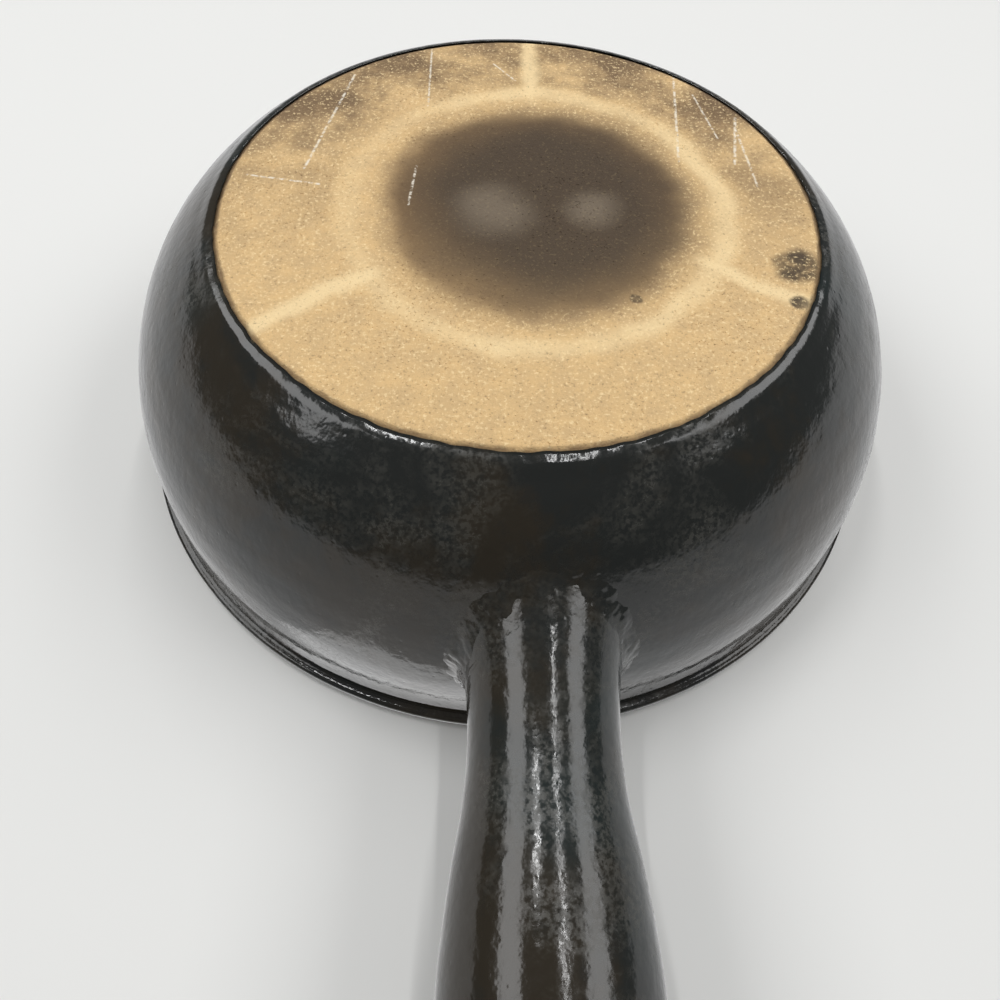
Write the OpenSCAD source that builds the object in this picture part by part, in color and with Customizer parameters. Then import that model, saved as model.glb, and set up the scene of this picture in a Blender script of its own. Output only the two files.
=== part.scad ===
// Ceramic fondue pot: a wide fired-clay bowl with a hollow clay handle luted to its side.
// The bowl stands on its bare base at z = 0, opens towards +Z, and the handle points along -Y.
// Sizes are those of the fired clay. The glaze coats lie on it.

/* [Bowl] */
// Diameter of the bare base
base_d = 147; // [124:1:154]
// Height from the base to the top of the rim
rim_h = 71.8; // [66:0.2:82]
// Radius of the wall where it stands upright, just under the rim
belly_r = 107.5; // [101:0.5:113]
// How far the upright part of the wall lies under the top of the rim
belly_drop = 13.5; // [12:0.5:17]
// Thickness of the wall
wall_t = 5.5; // [4.5:0.25:7]
// Thickness of the bottom
bottom_t = 7.5; // [6:0.25:10]
// Radius of the curve between the bottom and the wall, inside
inner_bend_r = 26; // [20:1:30]

/* [Rim] */
// How far the rolled lip stands out from the upright wall
lip_out = 3; // [2:0.25:4]
// Radius of the rolled lip
lip_bead_r = 2.4; // [2.1:0.1:3]
// Radius of the rounded inner edge of the rim
inner_bead_r = 1.8; // [1.2:0.1:2.4]
// How far the wall flares out between the upright part and the groove
flare_out = 1.2; // [0.6:0.1:1.8]
// Radius of the groove under the lip
groove_r = 2; // [1.6:0.1:2.4]
// Depth of the groove
groove_deep = 1.3; // [0.8:0.1:1.5]

/* [Handle] */
// How far the handle's axis lies under the top of the rim, at the upright wall
handle_drop = 32.3; // [31:0.1:36]
// How far the hand-set handle's axis passes to the side of the bowl's axis
handle_aside = 5.2; // [0:0.1:6]
// Upward tilt of the handle
handle_tilt = 5; // [3:0.5:6]
// Length of the handle from the upright wall to its end
handle_len = 125.5; // [112:0.5:140]
// Radius of the handle at its neck
neck_r = 15.8; // [14.5:0.1:17]
// Where the neck is narrowest, from the upright wall
neck_at = 13.5; // [12:0.5:17]
// Radius of the long hollow curve of the neck
neck_curve_r = 95; // [88:1:115]
// Radius of the handle at its thickest place
club_r = 21.4; // [20:0.1:22.5]
// Where the handle is thickest, from the upright wall
club_at = 72.5; // [66:0.5:78]
// Radius of the rounded corner at the handle's end
end_round_r = 11; // [8:0.5:12]
// Thickness of the handle's wall
handle_wall = 4.5; // [3.5:0.25:6]
// Diameter of the vent hole in the handle's end
vent_d = 9; // [6:0.5:11]

/* [Joint] */
// Reach of the clay fillet along the bowl and along the handle
fillet_reach = 8; // [5:0.5:8.5]
// How far the fillet's edge stands above the glaze beside it
fillet_proud = 0.2; // [0.1:0.1:0.5]

/* [Glaze] */
// Thickness of the glaze coats
glaze_t = 0.7; // [0.4:0.05:0.9]
// Height of the bare strip above the base, where the glaze was wiped off
wiped_h = 0.5; // [0.3:0.1:2]

/* [Hidden] */
clay_color = [0.83, 0.68, 0.48];
glaze_color = [0.16, 0.16, 0.15];
joint_color = [0.21, 0.20, 0.18];
bowl_fn = 144;
handle_fn = 96;
overshoot = 1;

base_r = base_d / 2;
belly_z = rim_h - belly_drop;
lip_r = belly_r + lip_out;

// Outside, the wall is one arc from the base's edge to the upright belly.
wall_run = belly_r - base_r;
wall_arc_r = (pow(wall_run, 2) + pow(belly_z, 2)) / (2 * wall_run);
wall_arc_x = belly_r - wall_arc_r;

// Above the belly it flares to the groove, and the lip is a bead at the top.
lip_x = lip_r - lip_bead_r;
lip_z = rim_h - lip_bead_r;
groove_z = lip_z - lip_bead_r;
flare_rise = groove_z - belly_z;
flare_r = (pow(flare_rise, 2) + pow(flare_out, 2)) / (2 * flare_out);
flare_x = belly_r + flare_r;
groove_x = belly_r + flare_out + groove_r - groove_deep;

// Inside, the same arc lies one wall thickness further in and bends into the flat bottom.
mouth_r = belly_r - wall_t;
inner_arc_r = wall_arc_r - wall_t;
bend_z = bottom_t + inner_bend_r;
bend_x = wall_arc_x + sqrt(pow(inner_arc_r - inner_bend_r, 2) - pow(belly_z - bend_z, 2));
bend_top_z = belly_z - (belly_z - bend_z) * inner_arc_r / (inner_arc_r - inner_bend_r);
inner_bead_x = mouth_r + inner_bead_r;
rim_mid_r = (inner_bead_x + lip_x) / 2;

// Along the handle, the neck's hollow curve and the club's swelling curve meet without a kink.
club_run = club_at - neck_at;
club_rise = club_r - neck_r;
curve_sum = (pow(club_run, 2) + pow(club_rise, 2)) / (2 * club_rise);
club_curve_r = curve_sum - neck_curve_r;
neck_x = neck_r + neck_curve_r;
club_x = club_r - club_curve_r;
turn_at = neck_at + club_run * neck_curve_r / curve_sum;
end_z = handle_len - end_round_r;
end_x = club_x + sqrt(pow(club_curve_r - end_round_r, 2) - pow(end_z - club_at, 2));
end_blend = (end_z - club_at) / (club_curve_r - end_round_r);

// The handle's own directions: across it, up from its axis, and along it.
handle_start = [-handle_aside, -belly_r, rim_h - handle_drop];
side_dir = [1, 0, 0];
up_dir = [0, sin(handle_tilt), cos(handle_tilt)];
along_dir = [0, -cos(handle_tilt), sin(handle_tilt)];
root_in = 30;
root_r = handle_radius(-root_in);

// The fillet is a ring of sections, and its hidden underside is sunk for a clean cut.
joint_turns = 48;
joint_steps = 6;
joint_sunk = 3;
fillet_edge = glaze_t + fillet_proud;
search_out = 12;
search_steps = 24;

// Outline of the bowl's outside, seen from the axis outwards, grown by a coat of glaze.
module outer_outline(coat) {
  square([wall_arc_x, belly_z]);
  intersection() {
    translate([wall_arc_x, belly_z])
      circle(r = wall_arc_r + coat, $fn = bowl_fn);
    translate([wall_arc_x, 0])
      square([wall_arc_r + coat, belly_z]);
  }
  difference() {
    union() {
      flare_outline(coat);
      translate([0, groove_z])
        square([lip_x, rim_h + coat - groove_z]);
      translate([lip_x, lip_z])
        circle(r = lip_bead_r + coat, $fn = bowl_fn);
    }
    translate([groove_x, groove_z])
      circle(r = groove_r - coat, $fn = bowl_fn);
  }
}

module flare_outline(coat) {
  difference() {
    translate([0, belly_z])
      square([belly_r + flare_out + coat, flare_rise]);
    translate([flare_x, belly_z])
      circle(r = flare_r - coat, $fn = bowl_fn);
  }
}

// Outline of the room inside the bowl, made smaller by a coat of glaze.
module inner_outline(coat) {
  translate([0, bottom_t + coat])
    square([bend_x, belly_z - bottom_t]);
  translate([bend_x, bend_z])
    circle(r = inner_bend_r - coat, $fn = bowl_fn);
  intersection() {
    translate([wall_arc_x, belly_z])
      circle(r = inner_arc_r - coat, $fn = bowl_fn);
    translate([0, bend_top_z])
      square([belly_r, belly_z - bend_top_z]);
  }
  translate([0, belly_z])
    square([mouth_r - coat, rim_h + overshoot - belly_z]);
  difference() {
    translate([0, rim_h - inner_bead_r])
      square([inner_bead_x, inner_bead_r + coat + overshoot]);
    translate([inner_bead_x, rim_h - inner_bead_r])
      circle(r = inner_bead_r + coat, $fn = bowl_fn);
  }
}

module bowl_form(coat) {
  rotate_extrude($fn = bowl_fn)
    outer_outline(coat);
}

module bowl() {
  color(clay_color)
    rotate_extrude($fn = bowl_fn)
      difference() {
        outer_outline(0);
        inner_outline(0);
      }
}

// The outer coat runs from the wiped strip over the lip to the middle of the rim's top.
module outer_glaze() {
  color(glaze_color)
    difference() {
      rotate_extrude($fn = bowl_fn)
        difference() {
          outer_outline(glaze_t);
          outer_outline(0);
          square([belly_r, wiped_h]);
          translate([0, belly_z])
            square([rim_mid_r, belly_drop + overshoot]);
        }
      handle_form(glaze_t);
      joint_ring();
    }
}

module inner_glaze() {
  color(glaze_color)
    rotate_extrude($fn = bowl_fn)
      difference() {
        union() {
          inner_outline(0);
          translate([0, rim_h])
            square([rim_mid_r, glaze_t]);
        }
        inner_outline(glaze_t);
        translate([0, rim_h + glaze_t])
          square([rim_mid_r, overshoot]);
      }
}

// Outline of the handle, from its axis outwards, with its end at the top.
module handle_outline(coat) {
  difference() {
    translate([0, -root_in])
      square([root_r + coat, root_in + turn_at]);
    translate([neck_x, neck_at])
      circle(r = neck_curve_r - coat, $fn = handle_fn);
  }
  intersection() {
    translate([club_x, club_at])
      circle(r = club_curve_r + coat, $fn = handle_fn);
    translate([0, turn_at])
      square([club_r + coat, club_at + end_blend * (club_curve_r + coat) - turn_at]);
  }
  translate([0, turn_at])
    square([end_x, handle_len + coat - turn_at]);
  intersection() {
    translate([end_x, end_z])
      circle(r = end_round_r + coat, $fn = handle_fn);
    translate([0, end_z])
      square([club_r, end_round_r + coat]);
  }
}

module at_handle() {
  translate(handle_start)
    rotate([90 - handle_tilt, 0, 0])
      children();
}

module handle_form(coat) {
  at_handle()
    rotate_extrude($fn = handle_fn)
      handle_outline(coat);
}

module vent_hole() {
  at_handle()
    translate([0, 0, end_z])
      cylinder(h = 2 * end_round_r, r = vent_d / 2, $fn = handle_fn);
}

// The handle is an open tube at its root, cut to a saddle that sits on the bowl's wall.
module handle() {
  color(clay_color)
    difference() {
      at_handle()
        rotate_extrude($fn = handle_fn)
          difference() {
            handle_outline(0);
            handle_outline(-handle_wall);
          }
      bowl_form(0);
      vent_hole();
    }
}

module handle_glaze() {
  color(glaze_color)
    difference() {
      at_handle()
        rotate_extrude($fn = handle_fn)
          difference() {
            handle_outline(glaze_t);
            handle_outline(0);
          }
      bowl_form(glaze_t);
      joint_ring();
      vent_hole();
    }
}

// How far a point lies outside the bowl's clay, and the outward direction of the wall there.
function bowl_gap(p) =
  let (q = norm([p[0], p[1]]))
  p[2] < belly_z
    ? norm([q - wall_arc_x, p[2] - belly_z]) - wall_arc_r
    : flare_r - norm([flare_x - q, p[2] - belly_z]);

function bowl_normal(p) =
  let (q = norm([p[0], p[1]]))
  let (v = p[2] < belly_z ? [q - wall_arc_x, p[2] - belly_z] : [flare_x - q, belly_z - p[2]])
  let (n = v / norm(v))
  [n[0] * p[0] / q, n[0] * p[1] / q, n[1]];

function handle_radius(s) = neck_x - sqrt(pow(neck_curve_r, 2) - pow(s - neck_at, 2));

function around(turn) = cos(turn) * side_dir + sin(turn) * up_dir;

function handle_point(turn, s) =
  handle_start + s * along_dir + handle_radius(s) * around(turn);

// Where the handle's surface meets the bowl's, found by halving the stretch between lo and hi.
function meeting(turn, lo, hi, steps) =
  let (mid = (lo + hi) / 2)
  steps == 0
    ? mid
    : bowl_gap(handle_point(turn, mid)) < 0
      ? meeting(turn, mid, hi, steps - 1)
      : meeting(turn, lo, mid, steps - 1);

function bend(a, b, c, t) = pow(1 - t, 2) * a + 2 * t * (1 - t) * b + t * t * c;

// One section of the fillet: a hollow curve from the wall to the handle, and the sunk underside.
function joint_section(turn) =
  let (s = meeting(turn, -root_in, search_out, search_steps))
  let (corner = handle_point(turn, s))
  let (u = around(turn))
  let (n = bowl_normal(corner))
  let (spread = (u + n) / (1 + u * n))
  let (t = u - (u * n) * n)
  let (reached = corner + fillet_reach * t / norm(t))
  let (foot_n = bowl_normal(reached))
  let (foot = reached - bowl_gap(reached) * foot_n)
  let (head = handle_point(turn, s + fillet_reach))
  let (start = foot + fillet_edge * foot_n)
  let (middle = corner + fillet_edge * spread)
  let (stop = head + fillet_edge * u)
  concat(
    [for (i = [0 : joint_steps]) bend(start, middle, stop, i / joint_steps)],
    [head - joint_sunk * u, corner - joint_sunk * spread, foot - joint_sunk * foot_n]
  );

module joint_ring() {
  size = joint_steps + 4;
  points = [for (k = [0 : joint_turns - 1]) each joint_section(360 * k / joint_turns)];
  faces = [
    for (k = [0 : joint_turns - 1], i = [0 : size - 1])
      let (near = k * size, far = (k + 1) % joint_turns * size, j = (i + 1) % size)
      each [[near + i, near + j, far + i], [near + j, far + j, far + i]]
  ];
  polyhedron(points = points, faces = faces);
}

// The ring of clay pressed into the corner where the handle stands on the wall.
module handle_joint() {
  color(joint_color)
    difference() {
      joint_ring();
      bowl_form(0);
      handle_form(0);
    }
}

bowl();
outer_glaze();
inner_glaze();
handle();
handle_glaze();
handle_joint();
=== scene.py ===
import math
import bpy
import numpy as np
from mathutils import Matrix, Vector


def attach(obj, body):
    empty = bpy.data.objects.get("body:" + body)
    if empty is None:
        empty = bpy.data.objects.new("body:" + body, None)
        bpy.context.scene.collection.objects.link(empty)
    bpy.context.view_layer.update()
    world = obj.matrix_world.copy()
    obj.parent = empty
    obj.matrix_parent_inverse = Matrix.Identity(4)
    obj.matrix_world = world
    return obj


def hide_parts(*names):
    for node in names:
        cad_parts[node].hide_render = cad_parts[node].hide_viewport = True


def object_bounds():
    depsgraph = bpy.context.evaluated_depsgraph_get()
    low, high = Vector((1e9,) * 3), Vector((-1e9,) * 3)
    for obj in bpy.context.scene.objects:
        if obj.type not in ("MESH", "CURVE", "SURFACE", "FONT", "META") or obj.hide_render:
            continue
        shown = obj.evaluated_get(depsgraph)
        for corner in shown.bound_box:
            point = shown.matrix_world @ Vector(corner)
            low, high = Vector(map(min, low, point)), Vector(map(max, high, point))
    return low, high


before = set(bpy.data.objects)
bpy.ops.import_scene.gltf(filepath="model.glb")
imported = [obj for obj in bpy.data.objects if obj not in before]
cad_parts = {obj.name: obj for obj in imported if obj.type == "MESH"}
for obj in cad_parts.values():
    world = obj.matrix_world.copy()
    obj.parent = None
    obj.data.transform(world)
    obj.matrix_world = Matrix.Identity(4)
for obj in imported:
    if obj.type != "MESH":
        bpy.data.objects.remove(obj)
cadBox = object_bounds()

# A glazed clay fondue pot: bowl on its bare base at z = 0, mouth up, handle along -Y.
# Shapes are worked out in millimetres and written to the meshes in metres.
mm = 0.001

potForm = {
    "baseRadius": 73.5,       # bare ground base
    "rimHeight": 71.8,        # clay, without the glaze
    "bellyRadius": 107.5,     # upright part of the wall
    "bellyDrop": 13.5,        # upright part below the rim's top
    "wall": 5.5,
    "bottom": 7.5,
    "innerBend": 26.0,        # curve between bottom and wall, inside
    "lipOut": 3.0,
    "lipBead": 2.4,
    "innerBead": 1.8,
    "flareOut": 1.2,
    "groove": 2.0,
    "grooveDepth": 1.3,
    "glaze": 0.7,
}

handleForm = {
    "drop": 32.3,             # axis below the rim's top, at the upright wall
    "aside": 5.2,             # axis beside the bowl's axis
    "tilt": 5.0,              # degrees, upwards
    "length": 125.5,
    "neck": 15.8,
    "neckAt": 13.5,
    "neckCurve": 95.0,
    "club": 21.4,
    "clubAt": 72.5,
    "endRound": 11.0,
    "wall": 4.5,
    "vent": 4.5,              # radius
    "rootIn": 30.0,
}


def deriveBowl(f):
    d = dict(f)
    d["bellyZ"] = f["rimHeight"] - f["bellyDrop"]
    run = f["bellyRadius"] - f["baseRadius"]
    d["arcR"] = (run ** 2 + d["bellyZ"] ** 2) / (2 * run)
    d["arcX"] = f["bellyRadius"] - d["arcR"]
    d["lipX"] = f["bellyRadius"] + f["lipOut"] - f["lipBead"]
    d["lipZ"] = f["rimHeight"] - f["lipBead"]
    d["grooveZ"] = d["lipZ"] - f["lipBead"]
    rise = d["grooveZ"] - d["bellyZ"]
    d["flareR"] = (rise ** 2 + f["flareOut"] ** 2) / (2 * f["flareOut"])
    d["flareX"] = f["bellyRadius"] + d["flareR"]
    d["grooveX"] = f["bellyRadius"] + f["flareOut"] + f["groove"] - f["grooveDepth"]
    d["mouthR"] = f["bellyRadius"] - f["wall"]
    d["innerArcR"] = d["arcR"] - f["wall"]
    d["bendZ"] = f["bottom"] + f["innerBend"]
    drop = d["bellyZ"] - d["bendZ"]
    d["bendX"] = d["arcX"] + math.sqrt((d["innerArcR"] - f["innerBend"]) ** 2 - drop ** 2)
    d["innerBeadX"] = d["mouthR"] + f["innerBead"]
    d["rimMid"] = (d["innerBeadX"] + d["lipX"]) / 2
    return d


def deriveHandle(f):
    d = dict(f)
    run = f["clubAt"] - f["neckAt"]
    rise = f["club"] - f["neck"]
    total = (run ** 2 + rise ** 2) / (2 * rise)
    d["clubCurve"] = total - f["neckCurve"]
    d["turnAt"] = f["neckAt"] + run * f["neckCurve"] / total
    d["endZ"] = f["length"] - f["endRound"]
    clubX = f["club"] - d["clubCurve"]
    reach = math.sqrt((d["clubCurve"] - f["endRound"]) ** 2 - (d["endZ"] - f["clubAt"]) ** 2)
    d["endX"] = clubX + reach
    d["endBlend"] = math.asin((d["endZ"] - f["clubAt"]) / (d["clubCurve"] - f["endRound"]))
    return d


bowlForm = deriveBowl(potForm)
gripForm = deriveHandle(handleForm)


# Outlines, as rows of (radius, height)

def root(value):
    return np.sqrt(np.maximum(value, 0))


def arc(centre, radius, start, end, count):
    turn = np.radians(np.linspace(start, end, count))
    return np.stack([centre[0] + radius * np.cos(turn), centre[1] + radius * np.sin(turn)], 1)


def evenly(points, step):
    gaps = np.linalg.norm(np.diff(points, axis=0), axis=1)
    along = np.concatenate([[0], np.cumsum(gaps)])
    count = max(2, int(round(along[-1] / step)) + 1)
    at = np.linspace(0, along[-1], count)
    return np.stack([np.interp(at, along, points[:, k]) for k in range(points.shape[1])], 1)


def outerRadius(z, coat):
    b = bowlForm
    wall = b["arcX"] + root((b["arcR"] + coat) ** 2 - (b["bellyZ"] - z) ** 2)
    flare = b["flareX"] - root((b["flareR"] - coat) ** 2 - (z - b["bellyZ"]) ** 2)
    r = np.where(z < b["bellyZ"], wall, np.where(z < b["grooveZ"], flare, b["lipX"]))
    beadR = b["lipBead"] + coat
    bead = b["lipX"] + root(beadR ** 2 - (z - b["lipZ"]) ** 2)
    r = np.where(np.abs(z - b["lipZ"]) < beadR, np.maximum(r, bead), r)
    grooveR = b["groove"] - coat
    cut = b["grooveX"] - root(grooveR ** 2 - (z - b["grooveZ"]) ** 2)
    return np.where(np.abs(z - b["grooveZ"]) < grooveR, np.minimum(r, cut), r)


def outerOutline(coat, step, start=0.0):
    b = bowlForm
    top = b["rimHeight"] + coat
    z = np.linspace(start, top, 3000)
    side = np.stack([outerRadius(z, coat), z], 1)
    return evenly(np.concatenate([side, [[b["rimMid"], top]]]), step)


def innerOutline(coat, step):
    b = bowlForm
    top = b["rimHeight"] + coat
    beadAt = (b["innerBeadX"], b["rimHeight"] - b["innerBead"])
    lean = math.degrees(math.atan2(b["bellyZ"] - b["bendZ"], b["bendX"] - b["arcX"]))
    parts = [
        np.array([[b["rimMid"], top]]),
        arc(beadAt, b["innerBead"] + coat, 90, 180, 24),
        arc((b["arcX"], b["bellyZ"]), b["innerArcR"] - coat, 0, -lean, 80),
        arc((b["bendX"], b["bendZ"]), b["innerBend"] - coat, -lean, -90, 60),
        np.array([[0.0, b["bottom"] + coat]]),
    ]
    return evenly(np.concatenate(parts), step)


# The handle's own directions and its surface

handleStart = np.array([
    -gripForm["aside"], -potForm["bellyRadius"], potForm["rimHeight"] - gripForm["drop"]])
tilt = math.radians(gripForm["tilt"])
sideDir = np.array([1.0, 0.0, 0.0])
upDir = np.array([0.0, math.sin(tilt), math.cos(tilt)])
alongDir = np.array([0.0, -math.cos(tilt), math.sin(tilt)])


def handleRadius(s):
    g = gripForm
    neck = g["neck"] + g["neckCurve"] - root(g["neckCurve"] ** 2 - (s - g["neckAt"]) ** 2)
    club = g["club"] - g["clubCurve"] + root(g["clubCurve"] ** 2 - (s - g["clubAt"]) ** 2)
    return np.where(s < g["turnAt"], neck, club)


def around(turn):
    return np.cos(turn)[..., None] * sideDir + np.sin(turn)[..., None] * upDir


def handlePoint(turn, s, radius):
    return handleStart + s[..., None] * alongDir + radius[..., None] * around(turn)


def bowlGap(p):
    b = bowlForm
    q = np.hypot(p[..., 0], p[..., 1])
    low = np.hypot(q - b["arcX"], p[..., 2] - b["bellyZ"]) - b["arcR"]
    high = b["flareR"] - np.hypot(b["flareX"] - q, p[..., 2] - b["bellyZ"])
    return np.where(p[..., 2] < b["bellyZ"], low, high)


def bowlNormal(p):
    b = bowlForm
    q = np.hypot(p[..., 0], p[..., 1])
    below = p[..., 2] < b["bellyZ"]
    out = np.where(below, q - b["arcX"], b["flareX"] - q)
    up = np.where(below, p[..., 2] - b["bellyZ"], b["bellyZ"] - p[..., 2])
    size = np.hypot(out, up)
    out, up = out / size, up / size
    return np.stack([out * p[..., 0] / q, out * p[..., 1] / q, up], -1)


def meeting(turn, coat):
    lo = np.full(turn.shape, -gripForm["rootIn"])
    hi = np.full(turn.shape, 12.0)
    for _ in range(30):
        mid = (lo + hi) / 2
        inside = bowlGap(handlePoint(turn, mid, handleRadius(mid) + coat)) < coat
        lo, hi = np.where(inside, mid, lo), np.where(inside, hi, mid)
    return (lo + hi) / 2


# Mesh and node helpers

def makeMesh(name, points, faces, material=None, values=None):
    mesh = bpy.data.meshes.new(name)
    mesh.from_pydata((np.asarray(points) * mm).tolist(), [], faces)
    for key, data in (values or {}).items():
        mesh.attributes.new(key, "FLOAT", "POINT").data.foreach_set("value", data)
    mesh.polygons.foreach_set("use_smooth", [True] * len(mesh.polygons))
    mesh.update()
    obj = bpy.data.objects.new(name, mesh)
    bpy.context.scene.collection.objects.link(obj)
    if material:
        mesh.materials.append(material)
    return obj


def ringFaces(rows, turns, closed):
    faces = []
    last = rows if closed else rows - 1
    for i in range(last):
        a, b = i * turns, (i + 1) % rows * turns
        for j in range(turns):
            k = (j + 1) % turns
            faces.append((a + j, a + k, b + k, b + j))
    return faces


def feed(tree, socket, value):
    if isinstance(value, bpy.types.NodeSocket):
        tree.links.new(value, socket)
    elif value is not None:
        socket.default_value = value


def add(tree, kind, inputs=None, output=0, **settings):
    node = tree.nodes.new(kind)
    for key, value in settings.items():
        setattr(node, key, value)
    for key, value in (inputs or {}).items():
        feed(tree, node.inputs[key], value)
    return node.outputs[output]


class Kit:  # short names for the nodes that the trees use most
    def __init__(self, tree):
        self.tree = tree
        self.prefix = "Geometry" if tree.bl_idname == "GeometryNodeTree" else "Shader"

    def calc(self, operation, a, b=None, c=None, clamp=False):
        return add(self.tree, "ShaderNodeMath", {0: a, 1: b, 2: c},
                   operation=operation, use_clamp=clamp)

    def vector(self, operation, a, b=None, scale=None, output=0):
        node = self.tree.nodes.new("ShaderNodeVectorMath")
        node.operation = operation
        feed(self.tree, node.inputs[0], a)
        feed(self.tree, node.inputs[1], b)
        feed(self.tree, node.inputs[3], scale)
        return node.outputs[output]

    def smooth(self, value, low, high, first=0.0, last=1.0):
        return add(self.tree, "ShaderNodeMapRange",
                   {"Value": value, "From Min": low, "From Max": high, "To Min": first, "To Max": last},
                   interpolation_type="SMOOTHSTEP")

    def cloud(self, where, scale, detail=3.0, rough=0.55, warp=0.0, output=0):
        return add(self.tree, "ShaderNodeTexNoise",
                   {"Vector": where, "Scale": scale, "Detail": detail, "Roughness": rough,
                    "Distortion": warp}, output=output)

    def cells(self, where, scale, feature="F1", randomness=1.0):
        return add(self.tree, "ShaderNodeTexVoronoi",
                   {"Vector": where, "Scale": scale, "Randomness": randomness}, feature=feature)

    def mix(self, factor, a, b, blend="MIX"):
        node = self.tree.nodes.new("ShaderNodeMix")
        node.data_type = "RGBA"
        node.blend_type = blend
        feed(self.tree, node.inputs[0], factor)
        feed(self.tree, node.inputs[6], colour(a))
        feed(self.tree, node.inputs[7], colour(b))
        return node.outputs[2]

    def split(self, where):
        node = self.tree.nodes.new("ShaderNodeSeparateXYZ")
        feed(self.tree, node.inputs[0], where)
        return node.outputs


def colour(value):
    if isinstance(value, tuple) and len(value) == 3:
        return (*value, 1.0)
    return value


def newMaterial(name):
    material = bpy.data.materials.new(name)
    material.use_nodes = True
    tree = material.node_tree
    shader = tree.nodes["Principled BSDF"]
    return material, tree, shader, Kit(tree)


print("stage: helpers ready")


# Finishes

glazeLook = {
    "deep": (0.0125, 0.0140, 0.0130),     # greenish black
    "brown": (0.021, 0.0160, 0.0095),     # where iron shows
    "ash": (0.085, 0.081, 0.068),         # lighter, greyer bloom
    "teal": (0.011, 0.0175, 0.0175),
    "roughLow": 0.12,
    "roughHigh": 0.30,
    "peel": 0.00010,                      # height of the orange peel, metres
}


def makeGlaze(name, look, bloom=1.0):
    material, tree, shader, kit = newMaterial(name)
    where = add(tree, "ShaderNodeTexCoord", output=3)
    broad = kit.cloud(where, 22, 4, 0.6, 0.4)
    fine = kit.cloud(where, 160, 5, 0.65)
    speck = kit.cloud(where, 900, 2, 0.6)
    patch = kit.calc("ADD", kit.calc("MULTIPLY", broad, 0.7), kit.calc("MULTIPLY", fine, 0.3))
    tone = kit.mix(kit.smooth(patch, 0.44, 0.60), look["deep"], look["brown"])
    cool = kit.cloud(kit.vector("ADD", where, (0.31, 0.17, 0.05)), 17, 3, 0.5)
    tone = kit.mix(kit.smooth(cool, 0.56, 0.70, 0.0, 0.8), tone, look["teal"])
    haze = kit.cloud(kit.vector("ADD", where, (0.11, 0.47, 0.23)), 30, 6, 0.7, 0.6)
    grain = kit.calc("MULTIPLY", kit.smooth(haze, 0.44, 0.64), kit.smooth(speck, 0.36, 0.62))
    tone = kit.mix(kit.calc("MULTIPLY", grain, 0.36 * bloom), tone, look["ash"])
    feed(tree, shader.inputs["Base Color"], tone)
    matt = kit.calc("ADD", kit.calc("MULTIPLY", grain, 0.5), kit.calc("MULTIPLY", fine, 0.5))
    rough = kit.smooth(matt, 0.15, 0.75, look["roughLow"], look["roughHigh"])
    feed(tree, shader.inputs["Roughness"], rough)
    shader.inputs["IOR"].default_value = 1.52
    peel = kit.cloud(where, 420, 2, 0.5)
    pits = kit.smooth(kit.cells(where, 260), 0.0, 0.16, -1.0, 0.0)
    height = kit.calc("ADD", peel, kit.calc("MULTIPLY", pits, 0.35))
    height = kit.calc("ADD", height, kit.calc("MULTIPLY", speck, 0.12))
    bump = add(tree, "ShaderNodeBump", {"Strength": 1.0, "Distance": look["peel"], "Height": height})
    feed(tree, shader.inputs["Normal"], bump)
    return material


clayLook = {
    "clean": (0.70, 0.475, 0.225),
    "bright": (0.88, 0.68, 0.38),
    "tan": (0.47, 0.33, 0.18),
    "toast": (0.16, 0.100, 0.052),
    "brown": (0.115, 0.063, 0.027),
    "scorch": (0.050, 0.034, 0.021),
    "smoke": (0.22, 0.175, 0.125),
    "chalk": (0.86, 0.80, 0.68),
}


def makePlainClay(name, look):
    material, tree, shader, kit = newMaterial(name)
    where = add(tree, "ShaderNodeTexCoord", output=3)
    broad = kit.cloud(where, 60, 4)
    sand = kit.cloud(where, 1400, 3, 0.7)
    tone = kit.mix(broad, look["tan"], look["clean"])
    tone = kit.mix(kit.smooth(sand, 0.55, 0.75, 0.0, 0.6), tone, look["bright"])
    feed(tree, shader.inputs["Base Color"], tone)
    feed(tree, shader.inputs["Roughness"], kit.smooth(sand, 0.2, 0.8, 0.8, 0.98))
    bump = add(tree, "ShaderNodeBump", {"Strength": 1.0, "Distance": 0.0001, "Height": sand})
    feed(tree, shader.inputs["Normal"], bump)
    return material


# Marks on the base, in millimetres from its centre: what the flame and the stand left there
baseMarks = {
    "ringAt": (-3.7, -0.2),           # centre of the mark that the stand left
    "ringRadius": 47.0,
    "arms": [(90.5, 47, 72), (206.5, 46, 68), (-33, 47, 72)],      # degrees, from, to
    "armWidth": 4.0,
    "coreAt": (-7.4, 2.0),
    "spots": [((-65.8, -19.5), 6.6), ((-64.2, -31.6), 2.9), ((-25.9, -31.5), 1.8)],
    "haze": [((6.6, -2.0), 9.5), ((-18.0, -1.0), 6.5)],
    "scratches": [
        ((45.8, 54.1), (54.7, 12.2), 0.5),
        ((24.6, 68.1), (24.5, 39.1), 0.4),
        ((68.7, 9.1), (50.3, 6.1), 0.45),
        ((6.5, 61.5), (0.3, 53.3), 0.35),
        ((-45.4, 56.7), (-42.1, 18.3), 0.5),
        ((-60.3, 38.1), (-56.9, 18.0), 0.55),
        ((-59.6, 32.3), (-61.4, 9.0), 0.5),
        ((-49.9, 48.6), (-54.0, 28.8), 0.4),
        ((26.3, 14.0), (27.5, -1.0), 0.45),
    ],
}


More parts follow.
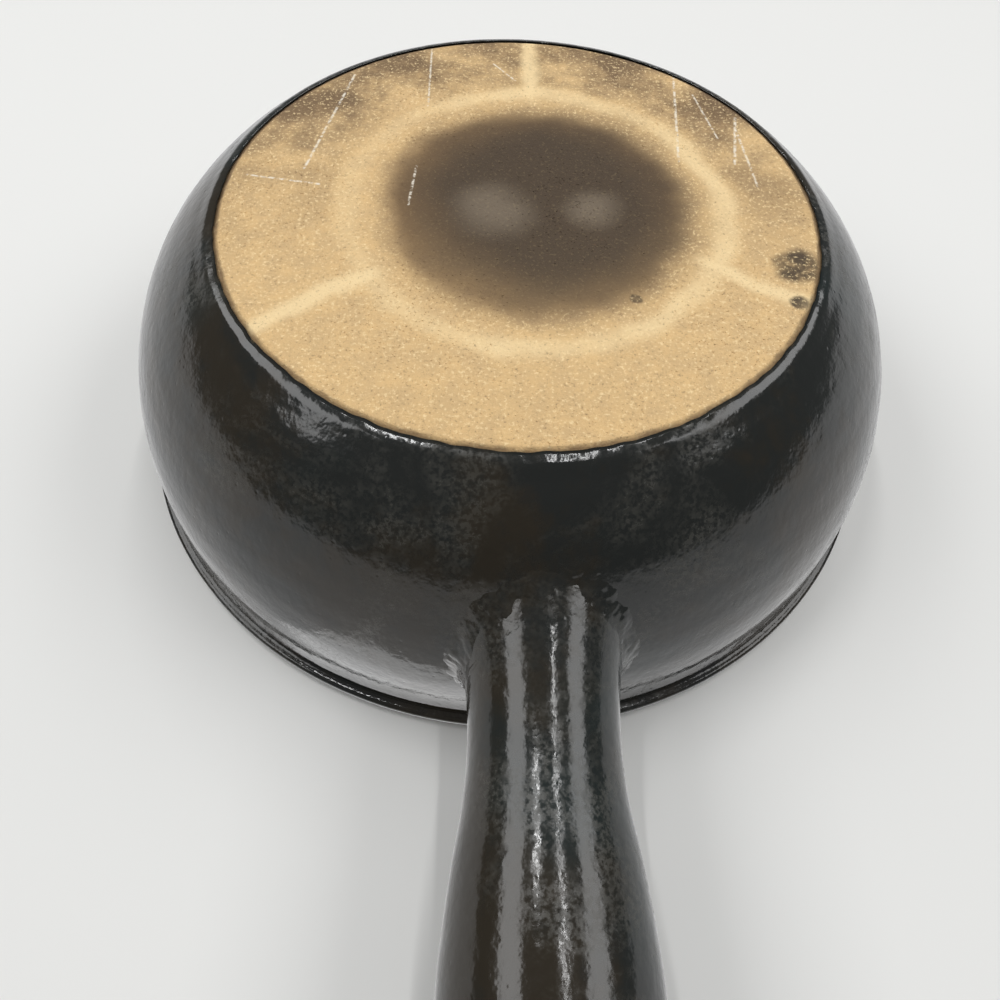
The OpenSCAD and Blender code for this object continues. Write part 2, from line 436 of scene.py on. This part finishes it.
def makeBaseClay(name, look, marks):
    material, tree, shader, kit = newMaterial(name)
    where = add(tree, "ShaderNodeTexCoord", output=3)
    place = kit.vector("SCALE", where, scale=1 / mm)
    flat = kit.vector("MULTIPLY", place, (1, 1, 0))
    wobble = kit.vector("SUBTRACT", kit.cloud(where, 45, 4, output=1), (0.5, 0.5, 0.5))
    bent = kit.vector("ADD", flat, kit.vector("MULTIPLY", wobble, (9, 9, 0)))
    fromRing = kit.vector("SUBTRACT", bent, (*marks["ringAt"], 0))
    radius = kit.vector("LENGTH", fromRing, output=1)
    edge = kit.vector("LENGTH", flat, output=1)
    x, y, _ = kit.split(flat)
    ringX, ringY, _ = kit.split(fromRing)
    broad = kit.cloud(where, 38, 5, 0.6)
    fine = kit.cloud(where, 170, 5, 0.65)
    sand = kit.cloud(where, 1100, 3, 0.8)
    far = kit.smooth(y, -30, 45)                 # the flame licked the far side more

    tone = kit.mix(kit.smooth(fine, 0.3, 0.7, 0.0, 0.45), look["clean"], look["tan"])
    # light scorch outside the ring
    outside = kit.smooth(radius, 47.0, 56.0)
    smear = kit.calc("MULTIPLY", outside, kit.smooth(broad, 0.34, 0.62))
    smear = kit.calc("MULTIPLY", smear, far)
    tone = kit.mix(kit.calc("MULTIPLY", smear, 0.95), tone, look["toast"])
    # heavy scorch inside the ring
    ring = marks["ringRadius"]
    inside = kit.smooth(radius, ring - 4, ring - 14)
    shade = kit.calc("MULTIPLY", inside, kit.smooth(kit.calc("ADD", broad, far), 0.3, 0.9, 0.75, 1.0))
    tone = kit.mix(kit.calc("MULTIPLY", shade, 0.86), tone, look["brown"])
    fromCore = kit.vector("DISTANCE", bent, (*marks["coreAt"], 0), output=1)
    core = kit.smooth(kit.calc("ADD", fromCore, kit.calc("MULTIPLY", broad, 16)), 54, 29)
    tone = kit.mix(kit.calc("MULTIPLY", core, 0.90), tone, look["scorch"])
    for (px, py), size in marks["haze"]:
        gap = kit.vector("DISTANCE", bent, (px, py, 0), output=1)
        tone = kit.mix(kit.smooth(gap, size * 1.5, size * 0.2, 0.0, 0.6), tone, look["smoke"])
    # clean ring and arms, where the stand kept the flame away
    band = kit.smooth(kit.calc("ABSOLUTE", kit.calc("SUBTRACT", radius, ring)), 4.6, 0.6)
    clean = kit.calc("MULTIPLY", band, kit.smooth(broad, 0.3, 0.65, 0.35, 0.75))
    clean = kit.calc("MULTIPLY", clean, kit.smooth(x, 50, 5, 0.3, 1.0))
    for turn, start, stop in marks["arms"]:
        c, s = math.cos(math.radians(turn)), math.sin(math.radians(turn))
        along = kit.calc("ADD", kit.calc("MULTIPLY", ringX, c), kit.calc("MULTIPLY", ringY, s))
        across = kit.calc("ABSOLUTE", kit.calc(
            "SUBTRACT", kit.calc("MULTIPLY", ringY, c), kit.calc("MULTIPLY", ringX, s)))
        arm = kit.calc("MULTIPLY", kit.smooth(across, marks["armWidth"], 0.5),
                       kit.smooth(along, start - 6, start))
        clean = kit.calc("MAXIMUM", clean, kit.calc("MULTIPLY", arm, 0.8))
    tone = kit.mix(clean, tone, look["bright"])
    # round burnt spots
    for (px, py), size in marks["spots"]:
        gap = kit.vector("DISTANCE", bent, (px, py, 0), output=1)
        spot = kit.smooth(gap, size, size * 0.55)
        tone = kit.mix(kit.calc("MULTIPLY", spot, kit.smooth(fine, 0.2, 0.6, 0.45, 0.95)),
                       tone, look["scorch"])
    # chalky scratches, broken where the surface is low
    chip = kit.smooth(kit.cloud(where, 600, 3, 0.7), 0.40, 0.58)
    for start, stop, width in marks["scratches"]:
        a, b = Vector((*start, 0)), Vector((*stop, 0))
        line = b - a
        rel = kit.vector("SUBTRACT", flat, tuple(a))
        t = kit.calc("DIVIDE", kit.vector("DOT_PRODUCT", rel, tuple(line), output=1),
                     line.length_squared, clamp=True)
        foot = kit.vector("SCALE", tuple(line), scale=t)
        gap = kit.vector("DISTANCE", rel, foot, output=1)
        mark = kit.calc("MULTIPLY", kit.smooth(gap, width, width * 0.3), chip)
        tone = kit.mix(kit.calc("MULTIPLY", mark, 0.8), tone, look["chalk"])
    # sand: pale grains, partly painted glints, and dark grains
    pale = kit.smooth(sand, 0.54, 0.66, 0.0, 0.8)
    dark = kit.smooth(sand, 0.42, 0.30, 0.0, 0.5)
    tone = kit.mix(kit.calc("MULTIPLY", pale, kit.smooth(shade, 0.8, 0.0, 0.08, 1.0)), tone, look["bright"])
    tone = kit.mix(dark, tone, look["brown"])
    # darker brown band along the base's outer edge, under the ragged glaze
    rim = kit.smooth(kit.calc("ADD", edge, kit.calc("MULTIPLY", fine, 1.6)), 73.6, 74.6, 0.0, 0.7)
    tone = kit.mix(rim, tone, look["brown"])
    feed(tree, shader.inputs["Base Color"], tone)
    feed(tree, shader.inputs["Roughness"], kit.smooth(sand, 0.2, 0.8, 0.78, 0.96))
    bump = add(tree, "ShaderNodeBump", {"Strength": 1.0, "Distance": 0.0003, "Height": sand})
    feed(tree, shader.inputs["Normal"], bump)
    return material


darkGlaze = makeGlaze("darkGlaze", glazeLook)
innerLook = dict(glazeLook, deep=(0.020, 0.0135, 0.0095), brown=(0.042, 0.022, 0.011))
innerGlazeFinish = makeGlaze("innerGlazeFinish", innerLook, 0.35)
bareClay = makePlainClay("bareClay", clayLook)
scorchedClay = makeBaseClay("scorchedClay", clayLook, baseMarks)
print("stage: finishes ready")


# Geometry Nodes: the small irregularities of a thrown and hand-glazed surface

def newGeometryTree(name, inputs):
    tree = bpy.data.node_groups.new(name, "GeometryNodeTree")
    tree.interface.new_socket("Geometry", in_out="INPUT", socket_type="NodeSocketGeometry")
    for label, kind, value in inputs:
        socket = tree.interface.new_socket(label, in_out="INPUT", socket_type=kind)
        socket.default_value = value
    tree.interface.new_socket("Geometry", in_out="OUTPUT", socket_type="NodeSocketGeometry")
    entry = tree.nodes.new("NodeGroupInput")
    leave = tree.nodes.new("NodeGroupOutput")
    return tree, entry.outputs, leave.inputs, Kit(tree)


def thrownTree():
    tree, given, leave, kit = newGeometryTree("thrownSurface", [
        ("Ring Depth", "NodeSocketFloat", 0.0),
        ("Ring Pitch", "NodeSocketFloat", 0.006),
        ("Wave Depth", "NodeSocketFloat", 0.0),
        ("Wave Scale", "NodeSocketFloat", 60.0),
        ("Peel Depth", "NodeSocketFloat", 0.0),
        ("Peel Scale", "NodeSocketFloat", 420.0),
        ("Seed", "NodeSocketFloat", 0.0),
        ("Finish", "NodeSocketMaterial", None),
    ])
    place = add(tree, "GeometryNodeInputPosition")
    normal = add(tree, "GeometryNodeInputNormal")
    skin = add(tree, "GeometryNodeInputNamedAttribute", {"Name": "skin"}, data_type="FLOAT")
    along = add(tree, "GeometryNodeInputNamedAttribute", {"Name": "along"}, data_type="FLOAT")
    shift = add(tree, "ShaderNodeCombineXYZ", {"X": given["Seed"], "Y": given["Seed"]})
    where = kit.vector("ADD", place, shift)
    wobble = kit.cloud(where, 18, 2)
    phase = kit.calc("DIVIDE", along, given["Ring Pitch"])
    phase = kit.calc("ADD", phase, kit.calc("MULTIPLY", wobble, 1.6))
    ring = kit.calc("SINE", kit.calc("MULTIPLY", phase, math.tau))
    ring = kit.calc("MULTIPLY_ADD", ring, 0.5, 0.5)
    depth = kit.calc("MULTIPLY", ring, given["Ring Depth"])
    wave = kit.cloud(where, given["Wave Scale"], 3)
    depth = kit.calc("MULTIPLY_ADD", wave, given["Wave Depth"], depth)
    peel = kit.cloud(where, given["Peel Scale"], 2)
    depth = kit.calc("MULTIPLY_ADD", peel, given["Peel Depth"], depth)
    depth = kit.calc("MULTIPLY", kit.calc("MULTIPLY", depth, skin), -1.0)
    moved = add(tree, "GeometryNodeSetPosition", {
        "Geometry": given["Geometry"], "Offset": kit.vector("SCALE", normal, scale=depth)})
    real = add(tree, "GeometryNodeRealizeInstances", {"Geometry": moved})
    dressed = add(tree, "GeometryNodeSetMaterial", {"Geometry": real, "Material": given["Finish"]})
    feed(tree, leave["Geometry"], dressed)
    return tree


def grainTree():
    tree, given, leave, kit = newGeometryTree("sandGrains", [
        ("Density", "NodeSocketFloat", 400000.0),
        ("Radius", "NodeSocketFloat", 0.0002),
        ("Seed", "NodeSocketInt", 7),
        ("Finish", "NodeSocketMaterial", None),
    ])
    spread = tree.nodes.new("GeometryNodeDistributePointsOnFaces")
    feed(tree, spread.inputs["Mesh"], given["Geometry"])
    feed(tree, spread.inputs["Density"], given["Density"])
    feed(tree, spread.inputs["Seed"], given["Seed"])
    grain = add(tree, "GeometryNodeMeshIcoSphere", {"Radius": given["Radius"], "Subdivisions": 1})
    size = add(tree, "FunctionNodeRandomValue", {"Min": (0.5, 0.5, 0.25), "Max": (1.25, 1.25, 0.6)},
               data_type="FLOAT_VECTOR")
    turn = add(tree, "FunctionNodeRandomValue", {"Min": (0, 0, 0), "Max": (0.5, 0.5, 6.28)},
               data_type="FLOAT_VECTOR")
    placed = add(tree, "GeometryNodeInstanceOnPoints", {
        "Points": spread.outputs["Points"], "Instance": grain, "Rotation": turn, "Scale": size})
    real = add(tree, "GeometryNodeRealizeInstances", {"Geometry": placed})
    dressed = add(tree, "GeometryNodeSetMaterial", {"Geometry": real, "Material": given["Finish"]})
    feed(tree, leave["Geometry"], dressed)
    return tree


def bake(source, tree, values, name):
    modifier = source.modifiers.new("shape", "NODES")
    modifier.node_group = tree
    for item in tree.interface.items_tree:
        if item.in_out == "INPUT" and item.name in values:
            modifier[item.identifier] = values[item.name]
    source.update_tag()
    bpy.context.view_layer.update()
    graph = bpy.context.evaluated_depsgraph_get()
    mesh = bpy.data.meshes.new_from_object(source.evaluated_get(graph), depsgraph=graph)
    source.modifiers.remove(modifier)
    obj = bpy.data.objects.new(name, mesh)
    bpy.context.scene.collection.objects.link(obj)
    return obj


def finishPiece(obj, node):
    for attribute in ("skin", "along"):
        if attribute in obj.data.attributes:
            obj.data.attributes.remove(obj.data.attributes[attribute])
    mesh = obj.data
    mesh.polygons.foreach_set("use_smooth", [True] * len(mesh.polygons))
    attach(obj, "root")
    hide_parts(node)
    triangles = sum(len(p.vertices) - 2 for p in mesh.polygons)
    print("piece:", obj.name, triangles, "triangles")


def dropSource(obj):
    mesh = obj.data
    bpy.data.objects.remove(obj)
    bpy.data.meshes.remove(mesh)


thrown = thrownTree()
grains = grainTree()


def ripple(turn, waves, seed):
    draw = np.random.default_rng(seed)
    total = np.zeros_like(turn)
    for count in waves:
        total += draw.uniform(0.5, 1.0) * np.cos(count * turn + draw.uniform(0, math.tau)) / len(waves)
    return total


# Bowl clay: a dense base disc, welded to a turned body that the glaze hides

clayPiece = {
    "rings": 116,             # rings of triangles in the base disc, six more per ring
    "lift": 0.16,             # the base's surface under its grains, mm
    "edgeRound": 0.9,
    "unevenness": 0.05,
}


def makeBowlClay(p):
    b = bowlForm
    rings = p["rings"]
    turns = 6 * rings
    flat = b["baseRadius"] - p["edgeRound"]
    points = [(0.0, 0.0)]
    faces = []
    for k in range(1, rings + 1):
        t = np.arange(6 * k) / (6 * k) * math.tau
        points += list(zip(flat * k / rings * np.cos(t), flat * k / rings * np.sin(t)))
        first = 1 + 3 * k * (k - 1)
        before = 1 + 3 * (k - 1) * (k - 2) if k > 1 else 0
        inner = max(1, 6 * (k - 1))
        for side in range(6):
            for i in range(k):
                a = first + side * k + i
                c = first + (side * k + i + 1) % (6 * k)
                d = before + (side * (k - 1) + i) % inner
                faces.append((a, d, c))
                if i < k - 1:
                    e = before + (side * (k - 1) + i + 1) % inner
                    faces.append((c, d, e))
    disc = np.array(points)
    draw = np.random.default_rng(11)
    height = p["lift"] + p["unevenness"] * draw.uniform(-1, 1, len(disc))
    height += 0.05 * np.cos(disc[:, 0] * 0.09 + 1) * np.cos(disc[:, 1] * 0.075)
    disc = np.column_stack([disc, np.clip(height, 0.02, None)])
    # the body's outline, from the disc's edge round the outside and back in over the bottom
    corner = arc((flat, p["edgeRound"] + p["lift"]), p["edgeRound"], -90, -35, 5)[1:]
    outside = outerOutline(0.0, 3.0, p["edgeRound"] + 0.6)
    inside = innerOutline(0.0, 4.0)
    outline = np.concatenate([corner, outside, inside[1:-1]])
    t = np.arange(turns) / turns * math.tau
    body = np.stack([
        outline[:, :1] * np.cos(t), outline[:, :1] * np.sin(t),
        np.repeat(outline[:, 1:], turns, 1)], -1).reshape(-1, 3)
    base = len(disc) - turns      # the disc's last ring joins the body's first
    offset = len(disc)
    for j in range(turns):
        k = (j + 1) % turns
        faces.append((base + j, base + k, offset + k, offset + j))
    for i in range(len(outline) - 1):
        a, c = offset + i * turns, offset + (i + 1) * turns
        for j in range(turns):
            k = (j + 1) % turns
            faces.append((a + j, a + k, c + k, c + j))
    pole = offset + len(body)
    last = offset + (len(outline) - 1) * turns
    faces += [(last + j, last + (j + 1) % turns, pole) for j in range(turns)]
    points = np.concatenate([disc, body, [[0, 0, b["bottom"]]]])
    return makeMesh("bowlClay", points, faces, scorchedClay)


bowlClay = makeBowlClay(clayPiece)
finishPiece(bowlClay, "bowl")

grainPiece = {"Density": 420000.0, "Radius": 0.00021, "Seed": 7}


def makeGrains(p):
    b = bowlForm
    turns = 96
    t = np.arange(turns) / turns * math.tau
    reach = b["baseRadius"] - 0.6
    points = [(reach * math.cos(a), reach * math.sin(a), clayPiece["lift"] + 0.02) for a in t]
    source = makeMesh("grainGround", points, [tuple(range(turns))])
    made = bake(source, grains, dict(p, Finish=scorchedClay), "baseGrains")
    dropSource(source)
    co = np.empty(len(made.data.vertices) * 3)
    made.data.vertices.foreach_get("co", co)
    co = co.reshape(-1, 3)
    co[:, 2] = np.maximum(co[:, 2], 0.0)
    made.data.vertices.foreach_set("co", co.ravel())
    return made


baseGrains = makeGrains(grainPiece)
finishPiece(baseGrains, "bowl")
print("stage: clay body ready")


# Outer glaze

outerPiece = {
    "turns": 700,
    "step": 1.0,
    "edge": 0.75,             # mean height of the ragged lower edge, mm
    "ragged": 0.28,
    "roll": 1.3,              # length over which the glaze's edge thickens
}


def sampler(outline):
    gaps = np.linalg.norm(np.diff(outline, axis=0), axis=1)
    along = np.concatenate([[0], np.cumsum(gaps)])
    return along, lambda at: np.stack([np.interp(at, along, outline[:, k]) for k in (0, 1)], -1)


def revolve(profile, turn):
    return np.stack([profile[..., 0] * np.cos(turn), profile[..., 0] * np.sin(turn), profile[..., 1]], -1)


def makeOuterGlaze(p):
    b = bowlForm
    coat = b["glaze"]
    turn = np.arange(p["turns"]) / p["turns"] * math.tau
    topAlong, top = sampler(outerOutline(coat, 0.25))
    lowAlong, low = sampler(outerOutline(0.0, 0.25))
    edge = p["edge"] + p["ragged"] * (ripple(turn, (5, 9, 14), 3) + ripple(turn, (23, 37, 61, 88), 4))
    edge = np.clip(edge, 0.35, 3.0)
    rows = int(topAlong[-1] / p["step"])
    u = np.linspace(0, 1, rows) ** 1.04
    rollRows = 5
    ease = np.linspace(0, 1, rollRows)[:, None]
    points, skin, along = [], [], []
    # the rounded lower edge, from the clay up to the full coat
    for k in range(rollRows):
        a = edge + ease[k] * p["roll"]
        lift = math.sin(math.radians(90 * ease[k, 0])) ** 0.8
        profile = low(a) * (1 - lift) + top(a) * lift
        points.append(revolve(profile, turn))
        skin.append(np.full(p["turns"], 0.0))
        along.append(a)
    start = edge + p["roll"]
    for k in range(1, rows):
        a = start + u[k] * (topAlong[-1] - start)
        points.append(revolve(top(a), turn))
        near = 1.0 if k < rows - 1 else 0.0
        skin.append(np.full(p["turns"], near * min(1.0, k / 4)))
        along.append(a)
    back = np.linspace(1, 0, 24)
    for w in back:
        a = edge + 0.3 + w * (lowAlong[-1] - edge - 0.3)
        points.append(revolve(low(a), turn))
        skin.append(np.zeros(p["turns"]))
        along.append(a)
    count = len(points)
    points = np.array(points).reshape(-1, 3)
    faces = ringFaces(count, p["turns"], True)
    values = {"skin": np.array(skin).ravel(), "along": np.array(along).ravel() * mm}
    source = makeMesh("outerSource", points, faces, None, values)
    made = bake(source, thrown, {
        "Ring Depth": 0.00004, "Ring Pitch": 0.0085, "Wave Depth": 0.00034, "Wave Scale": 42.0,
        "Peel Depth": 0.00004, "Peel Scale": 260.0, "Seed": 1.0, "Finish": darkGlaze}, "outerGlaze")
    dropSource(source)
    return made


outerGlaze = makeOuterGlaze(outerPiece)
finishPiece(outerGlaze, "outer_glaze")

# Inner glaze, with the spiral that the thrower's finger leaves

innerPiece = {"turns": 480, "step": 1.2, "spiral": 0.22, "pitch": 7.5, "spiralReach": 58.0}


def makeInnerGlaze(p):
    b = bowlForm
    turn = np.arange(p["turns"]) / p["turns"] * math.tau
    shown = innerOutline(b["glaze"], p["step"])[:-1]
    hidden = innerOutline(0.0, 5.0)[:-1][::-1]
    rows = [revolve(np.tile(q, (p["turns"], 1)), turn) for q in shown]
    for row, q in zip(rows, shown):
        fade = np.clip((p["spiralReach"] - q[0]) / 20, 0, 1) * np.clip(q[0] / 5, 0, 1)
        row[:, 2] -= p["spiral"] * fade * (0.5 + 0.5 * np.cos(math.tau * q[0] / p["pitch"] - turn))
    centre = np.array([[0, 0, b["bottom"] + b["glaze"]]])
    bottom = np.array([[0, 0, b["bottom"]]])
    rows += [revolve(np.tile(q, (p["turns"], 1)), turn) for q in hidden]
    n, m, w = len(shown), len(hidden), p["turns"]
    points = np.concatenate([np.array(rows).reshape(-1, 3), centre, bottom])
    faces = []
    for i in list(range(n - 1)) + list(range(n, n + m - 1)):
        for j in range(w):
            k = (j + 1) % w
            faces.append((i * w + j, i * w + k, (i + 1) * w + k, (i + 1) * w + j))
    last = (n + m - 1) * w
    for j in range(w):
        k = (j + 1) % w
        faces.append(((n - 1) * w + j, (n - 1) * w + k, (n + m) * w))
        faces.append((n * w + j, (n + m) * w + 1, n * w + k))
        faces.append((last + j, last + k, k, j))
    skin = np.concatenate([np.repeat(np.minimum(1, np.arange(n) / 3), w), np.zeros(m * w + 2)])
    values = {"skin": skin, "along": np.zeros(len(points))}
    source = makeMesh("innerSource", points, faces, None, values)
    made = bake(source, thrown, {
        "Wave Depth": 0.00025, "Wave Scale": 35.0, "Peel Depth": 0.00003, "Peel Scale": 260.0,
        "Seed": 2.0, "Finish": innerGlazeFinish}, "innerGlaze")
    dropSource(source)
    return made


innerGlaze = makeInnerGlaze(innerPiece)
finishPiece(innerGlaze, "inner_glaze")
print("stage: bowl glaze ready")


# Handle glaze

handlePiece = {"turns": 200, "step": 0.72}


def handleOutline(coat, step):
    g = gripForm
    s = np.linspace(-g["rootIn"], g["clubAt"], 400)
    tube = np.stack([handleRadius(s) + coat, s], 1)
    clubAxis = g["club"] - g["clubCurve"]
    lean = math.degrees(g["endBlend"])
    swell = arc((clubAxis, g["clubAt"]), g["clubCurve"] + coat, 0, lean, 60)
    corner = arc((g["endX"], g["endZ"]), g["endRound"] + coat, lean, 90, 40)
    vent = np.array([[g["vent"], g["length"] + coat]])
    return evenly(np.concatenate([tube, swell[1:], corner[1:], vent]), step)


def makeHandleGlaze(p):
    g = gripForm
    coat = bowlForm["glaze"]
    turn = np.arange(p["turns"]) / p["turns"] * math.tau
    points, skin, along = [], [], []
    for layer, step in ((coat, 0.25), (0.0, 0.25)):
        outline = handleOutline(layer, step)
        along0, at = sampler(outline)
        first = np.interp(meeting(turn, layer), outline[:, 1], along0)
        rows = int((along0[-1] - first.min()) / (p["step"] if layer else 6.0))
        order = np.linspace(0, 1, rows)
        for u in (order if layer else order[::-1]):
            a = first + u * (along0[-1] - first)
            q = at(a)
            points.append(handlePoint(turn, q[:, 1], q[:, 0]))
            full = 0.0 if u > 0.999 or not layer else 1.0
            skin.append(np.full(p["turns"], full))
            along.append(a)
    count = len(points)
    faces = ringFaces(count, p["turns"], True)
    values = {"skin": np.array(skin).ravel(), "along": np.array(along).ravel() * mm}
    source = makeMesh("handleSource", np.array(points).reshape(-1, 3), faces, None, values)
    made = bake(source, thrown, {
        "Ring Depth": 0.00002, "Ring Pitch": 0.011, "Wave Depth": 0.0003, "Wave Scale": 70.0,
        "Peel Depth": 0.00005, "Peel Scale": 330.0, "Seed": 3.0, "Finish": darkGlaze}, "handleGlaze")
    dropSource(source)
    return made


handleGlaze = makeHandleGlaze(handlePiece)
finishPiece(handleGlaze, "handle_glaze")

# Joint: the clay pressed into the corner, with the glaze run over it

jointPiece = {
    "turns": 360,
    "steps": 34,
    "reach": 8.6,
    "proud": 0.12,
    "feather": 0.35,          # how far the edges dip under the glaze beside them
    "sunk": 1.4,
}


def makeJoint(p):
    coat = bowlForm["glaze"]
    turn = np.arange(p["turns"]) / p["turns"] * math.tau
    s = meeting(turn, 0.0)
    corner = handlePoint(turn, s, handleRadius(s))
    u = around(turn)
    n = bowlNormal(corner)
    dot = (u * n).sum(-1)[:, None]
    spread = (u + n) / (1 + dot)
    away = u - dot * n
    away /= np.linalg.norm(away, axis=1)[:, None]
    lobes = 1 + 0.16 * ripple(turn, (3, 5, 8, 13), 21)
    reach = (p["reach"] * lobes)[:, None]
    out = corner + reach * away
    footN = bowlNormal(out)
    foot = out - bowlGap(out)[:, None] * footN
    sHead = s + reach[:, 0]
    head = handlePoint(turn, sHead, handleRadius(sHead))
    edge = coat + p["proud"]
    start, middle, stop = foot + edge * footN, corner + edge * spread, head + edge * u
    rows = []
    t = np.linspace(0, 1, p["steps"])
    for k in t:
        q = (1 - k) ** 2 * start + 2 * k * (1 - k) * middle + k * k * stop
        dip = (p["proud"] + p["feather"]) * (max(0, 1 - k / 0.12) ** 2 + max(0, 1 - (1 - k) / 0.12) ** 2)
        rows.append(q - dip * ((1 - k) * footN + k * u))
    skin = [np.full(p["turns"], min(1.0, 6 * min(k, 1 - k))) for k in t]
    for q in (head - 0.0 * u, corner, foot):
        rows.append(q)
        skin.append(np.zeros(p["turns"]))
    faces = ringFaces(len(rows), p["turns"], True)
    points = np.array(rows).reshape(-1, 3)
    values = {"skin": np.array(skin).ravel(), "along": np.zeros(len(points))}
    source = makeMesh("jointSource", points, faces, None, values)
    made = bake(source, thrown, {
        "Wave Depth": 0.0016, "Wave Scale": 190.0, "Peel Depth": 0.0003, "Peel Scale": 480.0,
        "Seed": 4.0, "Finish": darkGlaze}, "handleJoint")
    dropSource(source)
    return made


handleJoint = makeJoint(jointPiece)
finishPiece(handleJoint, "handle_joint")

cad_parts["handle"].data.materials.clear()
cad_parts["handle"].data.materials.append(bareClay)
print("stage: handle ready")


# Stage: one table under the rim for the pot turned over, one under the base

stageForm = {"reach": 12.0, "rimGap": 0.00005, "rimPale": (0.80, 0.80, 0.785), "basePale": (0.95, 0.95, 0.94)}


def makeFloor(name, height, up, pale):
    material, tree, shader, kit = newMaterial(name)
    where = add(tree, "ShaderNodeTexCoord", output=3)
    tone = kit.mix(kit.cloud(where, 3, 3), pale, tuple(c * 0.97 for c in pale))
    feed(tree, shader.inputs["Base Color"], tone)
    shader.inputs["Roughness"].default_value = 0.9
    shader.inputs["Specular IOR Level"].default_value = 0.0
    behind = add(tree, "ShaderNodeNewGeometry", output=6)
    clear = add(tree, "ShaderNodeBsdfTransparent")
    both = add(tree, "ShaderNodeMixShader", {0: behind, 1: shader.outputs[0], 2: clear})
    feed(tree, tree.nodes["Material Output"].inputs["Surface"], both)
    r = stageForm["reach"]
    corners = [(-r, -r, height), (r, -r, height), (r, r, height), (-r, r, height)]
    mesh = bpy.data.meshes.new(name)
    mesh.from_pydata(corners, [], [(0, 1, 2, 3) if up else (3, 2, 1, 0)])
    mesh.materials.append(material)
    obj = bpy.data.objects.new(name, mesh)
    bpy.context.scene.collection.objects.link(obj)
    for ray in ("diffuse", "glossy", "transmission", "volume_scatter", "shadow"):
        setattr(obj, "visible_" + ray, False)
    return obj


rimTop = cadBox[1].z
makeFloor("rimTable", rimTop + stageForm["rimGap"], False, stageForm["rimPale"])
makeFloor("baseTable", -stageForm["rimGap"], True, stageForm["basePale"])

# World: a pale studio above, a dimmer room below that the glaze reflects

roomLook = {
    "pale": (0.80, 0.80, 0.80),
    "low": (0.15, 0.155, 0.155),
    "zenith": (0.20, 0.20, 0.20),
}


def makeWorld(look):
    world = bpy.data.worlds.new("studio")
    bpy.context.scene.world = world
    world.use_nodes = True
    tree = world.node_tree
    kit = Kit(tree)
    where = add(tree, "ShaderNodeTexCoord", output=0)
    x, y, z = kit.split(where)
    room = kit.mix(kit.smooth(z, -0.2, -0.9), look["low"], look["zenith"])
    tone = kit.mix(kit.smooth(z, -0.09, -0.01), room, look["pale"])
    feed(tree, tree.nodes["Background"].inputs["Color"], tone)
    tree.nodes["Background"].inputs["Strength"].default_value = 1.0


makeWorld(roomLook)

lampForm = {
    # name: centre, aimed at, width, length, power in watts
    "leftPanel": ((0.95, 0.15, -0.95), (0.0, 0.0, 0.03), 0.62, 1.3, 8.6),
    "rightPanel": ((-0.95, 0.15, -0.95), (0.0, 0.0, 0.03), 0.56, 1.3, 7.6),
    "leftStrip": ((0.30, 0.24, -1.02), (0.0, -0.13, 0.03), 0.02, 0.45, 2.0),
    "rightStrip": ((-0.22, 0.20, -1.05), (0.0, -0.13, 0.03), 0.022, 1.2, 3.6),
    "topSoft": ((0.5, -0.7, 1.4), (0.0, 0.0, 0.04), 0.9, 0.9, 2.5),
}


def makeLamps(lamps):
    for name, (centre, aim, width, length, power) in lamps.items():
        light = bpy.data.lights.new(name, "AREA")
        light.shape = "RECTANGLE"
        light.size, light.size_y = width, length
        light.energy = power
        obj = bpy.data.objects.new(name, light)
        bpy.context.scene.collection.objects.link(obj)
        back = (Vector(centre) - Vector(aim)).normalized()
        along = Vector((0, 1, 0))
        across = along.cross(back).normalized()
        obj.matrix_world = Matrix.Translation(centre) @ Matrix(
            (across, back.cross(across), back)).transposed().to_4x4()


makeLamps(lampForm)

cameraForm = {
    "place": (0.00896, -0.15832, -0.12271),
    "forward": (-0.026639, 0.509832, 0.859861),
    "up": (0.011751, 0.860267, -0.509709),
    "lens": 27.04,
    "sensor": 36.0,
}


def makeCamera(form):
    camera = bpy.data.cameras.new("camera")
    camera.lens = form["lens"]
    camera.sensor_width = form["sensor"]
    camera.clip_start = 0.005
    obj = bpy.data.objects.new("camera", camera)
    bpy.context.scene.collection.objects.link(obj)
    back = -Vector(form["forward"]).normalized()
    right = Vector(form["up"]).cross(back).normalized()
    up = back.cross(right)
    turn = Matrix((right, up, back)).transposed().to_4x4()
    obj.matrix_world = Matrix.Translation(form["place"]) @ turn
    bpy.context.scene.camera = obj


makeCamera(cameraForm)
bpy.context.scene.view_settings.view_transform = "Standard"
print("stage: studio ready")
